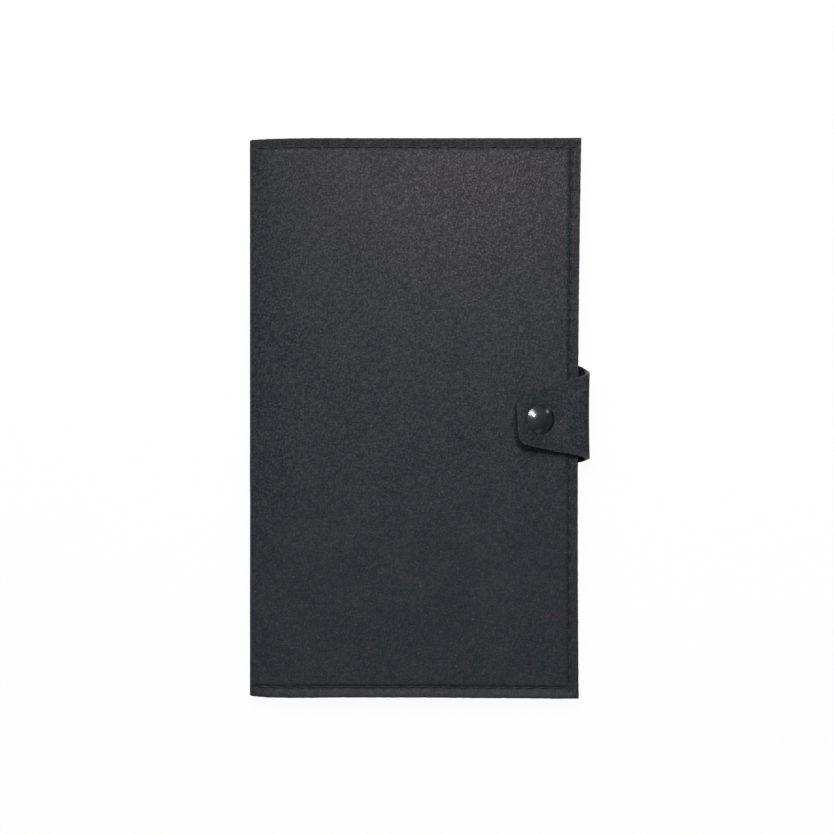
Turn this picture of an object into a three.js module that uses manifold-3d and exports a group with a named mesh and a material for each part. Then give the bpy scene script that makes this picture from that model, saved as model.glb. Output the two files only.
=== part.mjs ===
// Travel document pouch: a felt cover folded like a book, closed by a felt strap with a snap.
// Millimetres. The closed pouch lies on its back: X points from the spine to the free edge, Y runs
// along the spine and Z points up through the front cover. The origin is the middle of the back
// cover's outer face.

import * as THREE from 'three';
import { mergeVertices } from 'three/addons/utils/BufferGeometryUtils.js';
import loadManifold from 'manifold-3d';

// Driving dimensions of the cover
const pouchWidth = 130; // from the spine's outermost line to the free edge
const pouchHeight = 221; // along the spine
const coverFelt = 2; // thickness of the outer felt
const spineBulge = 17; // how far in the cover starts to curve round the spine
const spineStripAngle = 20; // degrees of the round spine, each side of its middle, between the folds
const layerGap = 0.3; // between pieces that lie on each other

// Driving dimensions of the pockets
const pocketFelt = 1; // thickness of the inner pockets' felt
const pocketRoom = 4.3; // room for tickets and a passport in the back pocket
const pocketMargin = 7; // flat border of the back pocket, which the seam runs through
const pocketSlope = 6; // width of the slope from that border up to the panel
const pocketMouth = 2; // how far the pockets' open edge stays from the curve of the spine
const frontPocketRoom = 0.5; // between the front cover and its pocket
const cardFelt = 0.6; // thickness of the card slots' felt
const cardWidth = 85.6;
const cardHeight = 54;
const cardSlotSide = 4.7; // sewn border of a slot at each side of the card
const cardSlotDepth = 40; // part of the card that the slot covers
const cardSpacing = 4; // between one card and the next
const cardSlotCount = 3;

// Driving dimensions of the seams
const seamInset = 4; // from the edge to the row of stitches
const threadWidth = 0.7;
const seamThread = 0.5; // height of the outer thread
const innerThread = 0.35; // height of the inner thread
const grooveWidth = 1.6; // furrow that the tight thread draws into the felt
const threadBed = 0.25; // between the thread and the floor of its furrow
const threadSink = 0.05; // how far the outer thread lies under the felt's face

// Driving dimensions of the strap
const strapFelt = 1.8;
const strapReach = 3.8; // how far the strap's front fold stands out past the free edge
const strapStandoff = 1.4; // how far its back fold stands out
const flapLength = 28.2; // from the front fold to the tip, seen from above
const tipWidth = 18.65;
const foldWidth = 33.7;
const tipCentre = -0.98; // the strap was sewn on a little askew
const foldCentre = 1.1;
const tipSlant = 0.8;
const tipRadius = 3.5;
const strapThreadMargin = 5; // from the end of the strap's own row of stitches to the strap's side

// Driving dimensions of the snap. Heights are along its axis, from the front cover's face
const snapInset = 16.6; // from the free edge to the snap
const snapShift = -0.3; // from the middle of the pouch
const snapTilt = 10; // degrees, because the strap rises from the free edge to the snap
const studRadius = 4.9;
const studBase = 0.5;
const studNeck = 1.6;
const studBulb = 2.1;
const studNeckHeight = 1.4;
const studBulbHeight = 1;
const socketRadius = 4.9;
const socketBore = 2.4;
const socketTop = 0.6;
const springWire = 0.6;
const springReach = 1.9; // inner radius of the spring, between the stud's neck and its bulb
const springSlit = 40; // degrees
const capRadius = 5.6;
const capRise = 2.2; // of the dome over its rim
const capRim = 0.4;
const postRadius = 1;
const rivetRadius = 3.8;
const rivetFlange = 0.4;
const feltPinch = 0.6; // felt left between the stud and the rivet
const snapSeat = 0.4; // how deep the cap and the socket press into the strap
const roundSegments = 32;

// Heights of the layers, from the back cover's outer face up
const pocketBase = coverFelt + layerGap;
const pocketPanel = coverFelt + pocketRoom;
const cardLow = pocketPanel + pocketFelt + layerGap;
const frontPocketLow = cardLow + cardFelt + layerGap;
const frontPocketHigh = frontPocketLow + pocketFelt;
const frontInner = frontPocketHigh + frontPocketRoom;
const pouchThickness = frontInner + coverFelt;

// Places in the plan
const freeEdge = pouchWidth / 2;
const topEdge = pouchHeight / 2;
const spineStart = spineBulge - freeEdge;
const mouthEdge = spineStart + pocketMouth;
const seamX = freeEdge - seamInset;
const seamY = topEdge - seamInset;
const beyond = 2; // how far a cut runs past the felt that it goes through
const curveSegments = 12;
const radians = THREE.MathUtils.degToRad;

const wasm = await loadManifold();
wasm.setup();

function toSolid(geometry) {
  const bare = geometry.clone();
  bare.deleteAttribute('normal');
  bare.deleteAttribute('uv');
  const merged = mergeVertices(bare);
  const corners = merged.index.array;
  const kept = [];
  for (let i = 0; i < corners.length; i += 3) {
    const [a, b, c] = corners.slice(i, i + 3);
    if (a !== b && b !== c && c !== a) {
      kept.push(a, b, c);
    }
  }
  const mesh = new wasm.Mesh({
    numProp: 3,
    vertProperties: new Float32Array(merged.attributes.position.array),
    triVerts: new Uint32Array(kept),
  });
  return new wasm.Manifold(mesh);
}

function toGeometry(solid) {
  const mesh = solid.getMesh();
  const geometry = new THREE.BufferGeometry();
  geometry.setAttribute('position', new THREE.BufferAttribute(mesh.vertProperties, 3));
  geometry.setIndex(new THREE.BufferAttribute(mesh.triVerts, 1));
  geometry.computeVertexNormals();
  return geometry;
}

function extrude(shape, depth) {
  return new THREE.ExtrudeGeometry(shape, { depth, bevelEnabled: false, curveSegments });
}

// A shape drawn in X and Y, raised from one height to another
function alongZ(shape, low, high) {
  return toSolid(extrude(shape, high - low).translate(0, 0, low));
}

// A shape drawn in X and Z, run along Y
function alongY(shape, low, high) {
  return toSolid(extrude(shape, high - low).rotateX(Math.PI / 2).translate(0, high, 0));
}

// A shape drawn in Y and Z, run along X
function alongX(shape, low, high) {
  const geometry = extrude(shape, high - low).rotateX(Math.PI / 2).rotateZ(Math.PI / 2);
  return toSolid(geometry.translate(low, 0, 0));
}

function polygon(points) {
  return new THREE.Shape(points.map(([x, y]) => new THREE.Vector2(x, y)));
}

function rectangle(left, right, low, high) {
  return polygon([[left, low], [right, low], [right, high], [left, high]]);
}

// A pressed or turned piece: radius and height pairs, from the axis up the outside, or a closed ring
function turned(profile) {
  const points = profile.map(([radius, height]) => new THREE.Vector2(radius, height));
  return new THREE.LatheGeometry(points, roundSegments).rotateX(Math.PI / 2);
}

// The three-sided band that the seam follows, round the top, the free edge and the bottom
function seamBand(start, width) {
  const half = width / 2;
  return polygon([
    [start, -seamY - half],
    [seamX + half, -seamY - half],
    [seamX + half, seamY + half],
    [start, seamY + half],
    [start, seamY - half],
    [seamX - half, seamY - half],
    [seamX - half, -seamY + half],
    [start, -seamY + half],
  ]);
}

// Finishes: dark needled felt, black thread, black lacquered caps and bare steel
const felt = { color: 0x38393d, roughness: 0.95, metalness: 0 };
const pocketCloth = { color: 0x34353a, roughness: 0.95, metalness: 0 };
const thread = { color: 0x17181a, roughness: 0.6, metalness: 0 };
const lacquer = { color: 0x141516, roughness: 0.18, metalness: 0.3 };
const steel = { color: 0x8d9096, roughness: 0.35, metalness: 1 };

const pouch = new THREE.Group();

function add(parent, name, geometry, finish) {
  const mesh = new THREE.Mesh(geometry, new THREE.MeshStandardMaterial(finish));
  mesh.name = name;
  parent.add(mesh);
}

// The snap's own frame: its axis leans towards the free edge
const snap = new THREE.Group();
snap.position.set(freeEdge - snapInset, snapShift, pouchThickness);
snap.rotation.y = radians(snapTilt);
snap.updateMatrix();
pouch.add(snap);

const studTop = studBase + studNeckHeight + studBulbHeight;
const socketLow = studBase + layerGap;
const socketRoof = studTop + layerGap;
const socketHigh = socketRoof + socketTop;
const flapLow = socketHigh + layerGap - snapSeat;
const flapHigh = flapLow + strapFelt;
const capLow = flapHigh - snapSeat + layerGap;
const rivetHigh = -layerGap - feltPinch - layerGap;

// A round cut on the snap's axis, in the pouch's frame
function snapCut(radius, low, high) {
  const drum = new THREE.CylinderGeometry(radius, radius, high - low, roundSegments);
  drum.rotateX(Math.PI / 2).translate(0, 0, (low + high) / 2);
  return toSolid(drum.applyMatrix4(snap.matrix));
}

// The round spine: ellipses outside and inside the felt, with angles measured from the spine's middle
const spineRise = pouchThickness / 2;

function spineArc(shape, inset, from, to) {
  const start = Math.PI - radians(from);
  const end = Math.PI - radians(to);
  shape.absellipse(spineStart, spineRise, spineBulge - inset, spineRise - inset, start, end, to > from);
}

// Angle that a fold's gap takes up on the inside of the felt
function foldGapAngle() {
  const angle = radians(spineStripAngle);
  const across = (spineBulge - coverFelt) * Math.sin(angle);
  const up = (spineRise - coverFelt) * Math.cos(angle);
  return THREE.MathUtils.radToDeg(layerGap / Math.hypot(across, up));
}

// Section of a cover: flat from the free edge, then curved round the spine up to its fold
function coverSection(side) {
  const outer = side < 0 ? 0 : pouchThickness;
  const inner = side < 0 ? coverFelt : frontInner;
  const flat = side * 90;
  const fold = side * spineStripAngle;
  const section = new THREE.Shape();
  section.moveTo(freeEdge, outer);
  section.lineTo(spineStart, outer);
  spineArc(section, 0, flat, fold);
  spineArc(section, coverFelt, fold, flat);
  section.lineTo(freeEdge, inner);
  return section;
}

function seamGroove(face, depth) {
  return alongZ(seamBand(spineStart, grooveWidth), Math.min(face, face + depth), Math.max(face, face + depth));
}

const grooveDepth = threadSink + seamThread + threadBed;
const innerGrooveDepth = innerThread + threadBed;

const backCover = alongY(coverSection(-1), -topEdge, topEdge).subtract(seamGroove(0, grooveDepth));
add(pouch, 'back_cover', toGeometry(backCover), felt);

const stripAngle = spineStripAngle - foldGapAngle();
const spineSection = new THREE.Shape();
spineArc(spineSection, 0, stripAngle, -stripAngle);
spineArc(spineSection, coverFelt, -stripAngle, stripAngle);
add(pouch, 'spine', toGeometry(alongY(spineSection, -topEdge, topEdge)), felt);

const frontCover = alongY(coverSection(1), -topEdge, topEdge)
  .subtract(seamGroove(pouchThickness, -grooveDepth))
  .subtract(snapCut(studRadius + layerGap, -layerGap, socketHigh))
  .subtract(snapCut(rivetRadius + layerGap, -coverFelt - beyond, -layerGap - feltPinch))
  .subtract(snapCut(postRadius + layerGap, -coverFelt - beyond, socketHigh));
add(pouch, 'front_cover', toGeometry(frontCover), felt);

function addThread(name, start, low, high) {
  add(pouch, name, toGeometry(alongZ(seamBand(start, threadWidth), low, high)), thread);
}

const outerThreadStart = spineStart + layerGap;
addThread('back_seam_thread', outerThreadStart, threadSink, threadSink + seamThread);
const frontThreadHigh = pouchThickness - threadSink;
addThread('front_seam_thread', outerThreadStart, frontThreadHigh - seamThread, frontThreadHigh);

// Back pocket: a shallow tray of felt, sewn down on three sides and open towards the spine
function pocketMound(lift, low, mouth) {
  const border = pocketBase + lift;
  const panel = pocketPanel + lift;
  const slopeX = freeEdge - pocketMargin;
  const slopeY = topEdge - pocketMargin;
  const lengthwise = polygon([
    [mouth, low],
    [freeEdge, low],
    [freeEdge, border],
    [slopeX, border],
    [slopeX - pocketSlope, panel],
    [mouth, panel],
  ]);
  const crosswise = polygon([
    [-topEdge, low],
    [topEdge, low],
    [topEdge, border],
    [slopeY, border],
    [slopeY - pocketSlope, panel],
    [pocketSlope - slopeY, panel],
    [-slopeY, border],
    [-topEdge, border],
  ]);
  return alongY(lengthwise, -topEdge, topEdge).intersect(alongX(crosswise, mouth, freeEdge));
}

const borderTop = pocketBase + pocketFelt;
const innerGroove = seamBand(mouthEdge - beyond, grooveWidth);
const ticketPocket = pocketMound(pocketFelt, pocketBase, mouthEdge)
  .subtract(pocketMound(0, pocketBase - beyond, mouthEdge - beyond))
  .subtract(alongZ(innerGroove, borderTop - innerGrooveDepth, borderTop));
add(pouch, 'ticket_pocket', toGeometry(ticketPocket), pocketCloth);
addThread('back_inner_thread', mouthEdge, borderTop - innerThread, borderTop);

// Front pocket: a flat panel, with the card slots sewn on its inner face
const documentPocket = alongZ(rectangle(mouthEdge, freeEdge, -topEdge, topEdge), frontPocketLow, frontPocketHigh)
  .subtract(alongZ(innerGroove, frontPocketLow - beyond, frontPocketLow + innerGrooveDepth));
add(pouch, 'document_pocket', toGeometry(documentPocket), pocketCloth);
addThread('front_inner_thread', mouthEdge, frontPocketLow, frontPocketLow + innerThread);

const cardSlotWidth = cardWidth + 2 * cardSlotSide;
const cardMiddle = (mouthEdge + seamX) / 2;
for (let i = 0; i < cardSlotCount; i += 1) {
  const slotMiddle = ((cardSlotCount - 1) / 2 - i) * (cardHeight + cardSpacing);
  const slot = new THREE.BoxGeometry(cardSlotWidth, cardSlotDepth, cardFelt);
  slot.translate(cardMiddle, slotMiddle, cardLow + cardFelt / 2);
  add(pouch, `card_slot_${i + 1}`, slot, pocketCloth);
}

// Strap: its outer face seen along Y, from the sewn end, round the free edge, to the flap's tip
const tilt = radians(snapTilt);
const rootLow = borderTop + layerGap;
const rootEnd = new THREE.Vector2(freeEdge - pocketMargin + layerGap, rootLow);
const backFold = new THREE.Vector2(freeEdge + strapStandoff, rootLow);
const flapFace = new THREE.Vector2(
  snap.position.x + flapHigh * Math.sin(tilt),
  pouchThickness + flapHigh * Math.cos(tilt),
);
const foldX = freeEdge + strapReach;
const frontFold = new THREE.Vector2(foldX, flapFace.y - (foldX - flapFace.x) * Math.tan(tilt));
const flapEnd = new THREE.Vector2(foldX - flapLength - beyond, 0);
flapEnd.y = frontFold.y + (foldX - flapEnd.x) * Math.tan(tilt);

function heading(from, to) {
  return to.clone().sub(from).normalize();
}

function inward(direction) {
  return new THREE.Vector2(-direction.y, direction.x);
}

// Inner corner of a fold whose felt runs in along one heading and out along the next
function innerCorner(corner, into, out) {
  const sum = inward(into).add(inward(out));
  return sum.multiplyScalar(strapFelt / (1 + into.dot(out))).add(corner);
}

// Half of the gap that a fold leaves, measured along the felt
function foldBack(into, out) {
  return layerGap / 2 / Math.cos(into.angleTo(out) / 2);
}

const rootWay = heading(rootEnd, backFold);
const edgeWay = heading(backFold, frontFold);
const flapWay = heading(frontFold, flapEnd);
const backCorner = innerCorner(backFold, rootWay, edgeWay);
const frontCorner = innerCorner(frontFold, edgeWay, flapWay);
const rootCorner = inward(rootWay).multiplyScalar(strapFelt).add(rootEnd);
const tipCorner = inward(flapWay).multiplyScalar(strapFelt).add(flapEnd);

// Section of one stretch of the strap, drawn back from the folds at its ends
function stretch(way, start, startInner, startGap, end, endInner, endGap) {
  const moved = (point, length) => way.clone().multiplyScalar(length).add(point).toArray();
  const section = polygon([
    moved(start, startGap),
    moved(end, -endGap),
    moved(endInner, -endGap),
    moved(startInner, startGap),
  ]);
  return alongY(section, -topEdge, topEdge);
}

const backGap = foldBack(rootWay, edgeWay);
const frontGap = foldBack(edgeWay, flapWay);

// The strap widens and drifts sideways evenly from its tip to its sewn end
const flapRun = flapLength / Math.cos(tilt);
const strapTaper = (foldWidth - tipWidth) / flapRun;
const strapDrift = (foldCentre - tipCentre) / flapRun;

function strapSide(run, side) {
  const centre = foldCentre + strapDrift * run;
  const width = foldWidth + strapTaper * run;
  return centre + (side * width) / 2;
}

const edgeRun = backFold.distanceTo(frontFold);
const rootRun = edgeRun + backFold.x - rootEnd.x;

const rootOutline = polygon([
  [rootEnd.x, strapSide(rootRun, -1)],
  [backFold.x, strapSide(edgeRun, -1)],
  [backFold.x, strapSide(edgeRun, 1)],
  [rootEnd.x, strapSide(rootRun, 1)],
]);
const rootTop = rootLow + strapFelt;
const rootThreadLow = strapSide(edgeRun, -1) + strapThreadMargin;
const rootThreadHigh = strapSide(edgeRun, 1) - strapThreadMargin;

function rootBand(width, extra) {
  return rectangle(seamX - width / 2, seamX + width / 2, rootThreadLow - extra, rootThreadHigh + extra);
}

const rootGroove = alongZ(rootBand(grooveWidth, layerGap), rootTop - innerGrooveDepth, rootTop);
const strapRoot = stretch(rootWay, rootEnd, rootCorner, 0, backFold, backCorner, backGap)
  .intersect(alongZ(rootOutline, 0, pouchThickness))
  .subtract(rootGroove);
add(pouch, 'strap_root', toGeometry(strapRoot), felt);
const rootThread = alongZ(rootBand(threadWidth, 0), rootTop - innerThread, rootTop);
add(pouch, 'strap_root_thread', toGeometry(rootThread), thread);

// The sides of the edge stretch go on straight past both folds, so that the mitres cut it
function edgeSide(run, side) {
  return [strapSide(run, side), frontFold.y - run * edgeWay.y];
}

const edgeOutline = polygon([
  edgeSide(edgeRun + beyond, -1),
  edgeSide(edgeRun + beyond, 1),
  edgeSide(-beyond, 1),
  edgeSide(-beyond, -1),
]);
const strapEdge = stretch(edgeWay, backFold, backCorner, backGap, frontFold, frontCorner, frontGap)
  .intersect(alongX(edgeOutline, freeEdge - spineBulge, freeEdge + spineBulge));
add(pouch, 'strap_edge', toGeometry(strapEdge), felt);

// Outline of the flap from above, with its two tip corners rounded
function flapOutline() {
  const corner = (side) => new THREE.Vector2(
    foldX - flapLength - (side * tipSlant) / 2,
    strapSide(-flapRun, side),
  );
  const root = (side) => new THREE.Vector2(foldX, strapSide(0, side));
  const outline = new THREE.Shape();
  const before = (side) => corner(side).lerp(root(side), tipRadius / corner(side).distanceTo(root(side)));
  const after = (side) => corner(side).lerp(corner(-side), tipRadius / corner(1).distanceTo(corner(-1)));
  outline.moveTo(...root(-1).toArray());
  outline.lineTo(...root(1).toArray());
  outline.lineTo(...before(1).toArray());
  outline.quadraticCurveTo(...corner(1).toArray(), ...after(1).toArray());
  outline.lineTo(...after(-1).toArray());
  outline.quadraticCurveTo(...corner(-1).toArray(), ...before(-1).toArray());
  return outline;
}

const strapFlap = stretch(flapWay, frontFold, frontCorner, frontGap, flapEnd, tipCorner, 0)
  .intersect(alongZ(flapOutline(), 0, 2 * pouchThickness))
  .subtract(snapCut(socketRadius + layerGap, socketLow, flapLow + snapSeat))
  .subtract(snapCut(capRadius + layerGap, flapHigh - snapSeat, capLow + capRim + capRise))
  .subtract(snapCut(postRadius + layerGap, socketLow, capLow));
add(pouch, 'strap_flap', toGeometry(strapFlap), felt);

// Snap: a domed cap with its post, over the strap
const capShoulder = capLow + capRim;
const capProfile = [[0, socketRoof + layerGap / 2], [postRadius, socketRoof + layerGap / 2], [postRadius, capLow]];
capProfile.push([capRadius, capLow]);
const domeSteps = 6;
for (let i = 0; i <= domeSteps; i += 1) {
  const angle = (i / domeSteps) * (Math.PI / 2);
  capProfile.push([capRadius * Math.cos(angle), capShoulder + capRise * Math.sin(angle)]);
}
capProfile[capProfile.length - 1][0] = 0;
add(snap, 'snap_cap', toGeometry(toSolid(turned(capProfile))), lacquer);

// The socket under the strap, with a groove inside for its spring
const springLow = studBase + studNeckHeight - springWire - layerGap;
const springHigh = springLow + springWire;
const springOuter = springReach + springWire;
const socketProfile = [
  [socketBore, socketLow],
  [socketRadius, socketLow],
  [socketRadius, socketHigh],
  [postRadius + layerGap, socketHigh],
  [postRadius + layerGap, socketRoof],
  [socketBore, socketRoof],
  [socketBore, springHigh + layerGap],
  [springOuter + layerGap, springHigh + layerGap],
  [springOuter + layerGap, springLow - layerGap],
  [socketBore, springLow - layerGap],
  [socketBore, socketLow],
];
add(snap, 'snap_socket', toGeometry(toSolid(turned(socketProfile))), steel);

// The spring is a flat split ring that grips the stud's neck
const springShape = new THREE.Shape();
const slitHalf = radians(springSlit) / 2;
springShape.absarc(0, 0, springOuter, slitHalf, 2 * Math.PI - slitHalf, false);
springShape.absarc(0, 0, springReach, 2 * Math.PI - slitHalf, slitHalf, true);
add(snap, 'snap_spring', toGeometry(alongZ(springShape, springLow, springHigh)), steel);

// The stud on the front cover, bored for the rivet's post
const studBore = postRadius + layerGap;
const neckTop = studBase + studNeckHeight;
const studProfile = [
  [studBore, 0],
  [studRadius, 0],
  [studRadius, studBase],
  [studNeck, studBase],
  [studNeck, neckTop - springWire / 2],
  [studBulb, neckTop + springWire / 2],
  [studNeck, studTop],
  [studBore, studTop],
  [studBore, 0],
];
add(snap, 'snap_stud', toGeometry(toSolid(turned(studProfile))), steel);

// The rivet inside the front cover, whose post goes through the felt into the stud
const rivetProfile = [
  [0, rivetHigh - rivetFlange],
  [rivetRadius, rivetHigh - rivetFlange],
  [rivetRadius, rivetHigh],
  [postRadius, rivetHigh],
  [postRadius, neckTop],
  [0, neckTop],
];
add(snap, 'snap_rivet', toGeometry(toSolid(turned(rivetProfile))), steel);

export default pouch;
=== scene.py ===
import math
import bpy
import numpy as np
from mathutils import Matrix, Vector


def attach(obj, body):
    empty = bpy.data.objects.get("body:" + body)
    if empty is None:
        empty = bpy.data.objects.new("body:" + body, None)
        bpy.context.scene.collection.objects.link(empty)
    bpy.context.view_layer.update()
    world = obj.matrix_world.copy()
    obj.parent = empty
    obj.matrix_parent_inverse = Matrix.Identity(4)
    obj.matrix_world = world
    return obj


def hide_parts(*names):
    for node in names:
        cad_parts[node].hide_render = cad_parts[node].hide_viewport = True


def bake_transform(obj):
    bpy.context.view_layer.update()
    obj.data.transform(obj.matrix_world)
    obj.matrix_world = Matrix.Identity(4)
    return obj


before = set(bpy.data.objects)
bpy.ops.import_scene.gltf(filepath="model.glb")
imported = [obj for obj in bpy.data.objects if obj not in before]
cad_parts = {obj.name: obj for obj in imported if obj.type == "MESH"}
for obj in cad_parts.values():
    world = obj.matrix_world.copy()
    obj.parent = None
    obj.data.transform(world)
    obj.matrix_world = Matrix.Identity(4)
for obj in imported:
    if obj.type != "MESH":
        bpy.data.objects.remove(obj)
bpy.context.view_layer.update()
mm = 0.001
print("frame loaded,", len(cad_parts), "solids")


# A socket that takes part in sums
class Wire:
    def __init__(self, tree, socket):
        self.tree, self.socket = tree, socket

    def work(self, operation, first, second):
        return wireNode(self.tree, "ShaderNodeMath", {"operation": operation}, {0: first, 1: second})

    def __add__(self, other):
        return self.work("ADD", self, other)

    def __radd__(self, other):
        return self.work("ADD", other, self)

    def __sub__(self, other):
        return self.work("SUBTRACT", self, other)

    def __rsub__(self, other):
        return self.work("SUBTRACT", other, self)

    def __mul__(self, other):
        return self.work("MULTIPLY", self, other)

    def __rmul__(self, other):
        return self.work("MULTIPLY", other, self)

    def __pow__(self, other):
        return self.work("POWER", self, other)

    def __rpow__(self, other):
        return self.work("POWER", other, self)


# Adds any node: its settings first, then the values or links of its sockets
def wireNode(tree, kind, settings, sockets, out=0):
    node = tree.nodes.new(kind)
    for name, value in settings.items():
        setattr(node, name, value)
    for key, value in sockets.items():
        if isinstance(value, Wire):
            tree.links.new(value.socket, node.inputs[key])
        else:
            node.inputs[key].default_value = value
    return Wire(tree, node.outputs[out]) if len(node.outputs) else node


def newMaterial(name):
    material = bpy.data.materials.new(name)
    material.use_nodes = True
    material.node_tree.nodes.clear()
    return material, material.node_tree


def finishMaterial(tree, shader):
    wireNode(tree, "ShaderNodeOutputMaterial", {}, {"Surface": shader})


def noise(tree, place, scale, detail, rough):
    sockets = {"Vector": place, "Scale": scale, "Detail": detail, "Roughness": rough}
    return wireNode(tree, "ShaderNodeTexNoise", {}, sockets)


def between(tree, value, low, high, start=0.0, end=1.0):
    sockets = {0: value, 1: low, 2: high, 3: start, 4: end}
    return wireNode(tree, "ShaderNodeMapRange", {"interpolation_type": "SMOOTHSTEP"}, sockets)


def mixColour(tree, factor, first, second):
    return wireNode(tree, "ShaderNodeMix", {"data_type": "RGBA"}, {0: factor, 6: first, 7: second}, 2)


def addBump(tree, look, height):
    sockets = {"Strength": look["bump"], "Distance": look["relief"] * mm, "Height": height}
    return wireNode(tree, "ShaderNodeBump", {}, sockets)


# Needled felt. The pattern lies on the flat cut of the sheet, in millimetres, so it bends with it.
# Noises are given as scale, detail and roughness
outerFelt = {
    "darkCool": (0.0059, 0.0149, 0.0189, 1), "darkWarm": (0.0083, 0.0143, 0.0183, 1),
    "lightCool": (0.0682, 0.0700, 0.0768, 1), "lightWarm": (0.0772, 0.0700, 0.0772, 1),
    # deep is a painted shade colour: feltShade lays it on in the seam furrows, under and round the snap's cap
    # and on the strap's wall edges
    "fleck": (0.100, 0.101, 0.107, 1), "deep": (0.0100, 0.0145, 0.0160, 1),
    # worn is lighter: feltShade below zero lays it on the strap's fold, partly worn fibres and partly painted
    # highlight
    "worn": (0.105, 0.103, 0.106, 1),
    "fibreTurns": ((24, 0.22), (78, 0.33), (127, 0.20), (174, 0.25)), "fibreAlong": 0.32,
    "fibreAcross": 1.60, "fibres": (1.0, 2.0, 0.6), "grain": (1.34, 1.5, 0.6),
    "fibreShare": 0.70, "grainShare": 0.30, "strandRange": (0.355, 0.70), "strandPower": 1.5,
    "patch": (0.30, 2.0, 0.55), "patchRange": (0.36, 0.64), "mottle": 0.017,
    "cloud": (0.055, 3.0, 0.55), "cloudRange": (0.32, 0.68), "cloudShare": 0.07, "strandShare": 0.93,
    "hairTurn": 8, "hairShift": 7, "hairAlong": 0.16, "hairAcross": 2.3, "hairs": (1.0, 1.0, 0.5),
    "hairRange": (0.72, 0.80), "hairShare": 0.35,
    "specks": (1.15, 1.0, 0.5), "speckRange": (0.655, 0.80), "speckGrain": (0.45, 0.6),
    "rough": (0.47, 0.22), "shadedRough": 0.5, "specular": 0.096, "glare": (1.0, 0.80, 0.91, 1),
    "relief": 0.10, "bump": 0.8, "reliefFibres": 0.6, "reliefGrain": 0.4,
    # darkHigh and lightHigh are painted sheen: the felt turns greyer and a little lighter towards the top, as
    # under the glare there
    "darkHigh": (0.0105, 0.0138, 0.0172, 1), "lightHigh": (0.0722, 0.0752, 0.0840, 1),
    "highRange": (15.0, 100.0),  # greyer towards the top
    "calmRange": (-66.0, -4.0), "calm": 0.6, "calmStrands": 0.30,  # smoother towards the bottom
}
pocketFeltLook = {
    **outerFelt, "lightCool": (0.0400, 0.0460, 0.0520, 1), "lightWarm": (0.0460, 0.0458, 0.0522, 1),
    "lightHigh": (0.0440, 0.0460, 0.0520, 1), "fibreAcross": 2.2, "grain": (1.9, 1.5, 0.6), "relief": 0.06,
}


# The pattern's place, turned and drawn out along the fibres. The shift sets each layer apart
def drawnOut(tree, place, turn, shift, along, across):
    sockets = {"Vector": place, "Center": (31.0 * shift, -17.0 * shift, 0), "Angle": math.radians(-turn)}
    turned = wireNode(tree, "ShaderNodeVectorRotate", {"rotation_type": "Z_AXIS"}, sockets)
    sockets = {0: turned, 1: (along, across, across)}
    return wireNode(tree, "ShaderNodeVectorMath", {"operation": "MULTIPLY"}, sockets)


def feltMaterial(name, look):
    material, tree = newMaterial(name)
    place = wireNode(tree, "ShaderNodeAttribute", {"attribute_name": "feltRest"}, {}, "Vector")
    shade = wireNode(tree, "ShaderNodeAttribute", {"attribute_name": "feltShade"}, {}, "Fac")
    upward = wireNode(tree, "ShaderNodeSeparateXYZ", {}, {0: place}, "Y")
    fibres = 0.0
    for step, (turn, weight) in enumerate(look["fibreTurns"]):
        drawn = drawnOut(tree, place, turn, step, look["fibreAlong"], look["fibreAcross"])
        fibres = fibres + noise(tree, drawn, *look["fibres"]) * weight
    grain = noise(tree, place, *look["grain"])
    patch = between(tree, noise(tree, place, *look["patch"]), *look["patchRange"])
    tangle = fibres * look["fibreShare"] + grain * look["grainShare"]
    tangle = tangle + patch * look["mottle"] - look["mottle"] / 2
    strands = between(tree, tangle, *look["strandRange"]) ** look["strandPower"]
    lively = between(tree, upward, *look["calmRange"], look["calm"], 1.0)
    strands = (strands - look["calmStrands"]) * lively + look["calmStrands"]
    cloud = between(tree, noise(tree, place, *look["cloud"]), *look["cloudRange"])
    # Painted sheen: greyer and a little lighter colours towards the top
    high = between(tree, upward, *look["highRange"])
    dark = mixColour(tree, patch, look["darkCool"], look["darkWarm"])
    dark = mixColour(tree, high, dark, look["darkHigh"])
    light = mixColour(tree, patch, look["lightCool"], look["lightWarm"])
    light = mixColour(tree, high, light, look["lightHigh"])
    colour = mixColour(tree, strands * look["strandShare"] + cloud * look["cloudShare"], dark, light)
    drawn = drawnOut(tree, place, look["hairTurn"], look["hairShift"], look["hairAlong"], look["hairAcross"])
    hairs = between(tree, noise(tree, drawn, *look["hairs"]), *look["hairRange"])
    specks = between(tree, noise(tree, place, *look["specks"]), *look["speckRange"])
    specks = specks * between(tree, grain, *look["speckGrain"])
    colour = mixColour(tree, hairs * look["hairShare"] + specks, colour, look["fleck"])
    # Painted shade: where feltShade is above zero the colour goes towards deep and the felt gets rougher
    colour = mixColour(tree, shade, colour, look["deep"])
    # Where feltShade is below zero the colour goes towards worn, partly wear and partly painted highlight
    colour = mixColour(tree, shade * -1.0, colour, look["worn"])
    shadedShare = shade.work("MAXIMUM", shade, 0.0)
    rough = between(tree, strands, 0.0, 1.0, *look["rough"]) + shadedShare * look["shadedRough"]
    bump = addBump(tree, look, fibres * look["reliefFibres"] + grain * look["reliefGrain"])
    shader = wireNode(tree, "ShaderNodeBsdfPrincipled", {}, {
        "Base Color": colour, "Roughness": rough, "Normal": bump, "Specular IOR Level": look["specular"],
        "Specular Tint": look["glare"]})
    finishMaterial(tree, shader)
    return material


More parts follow.
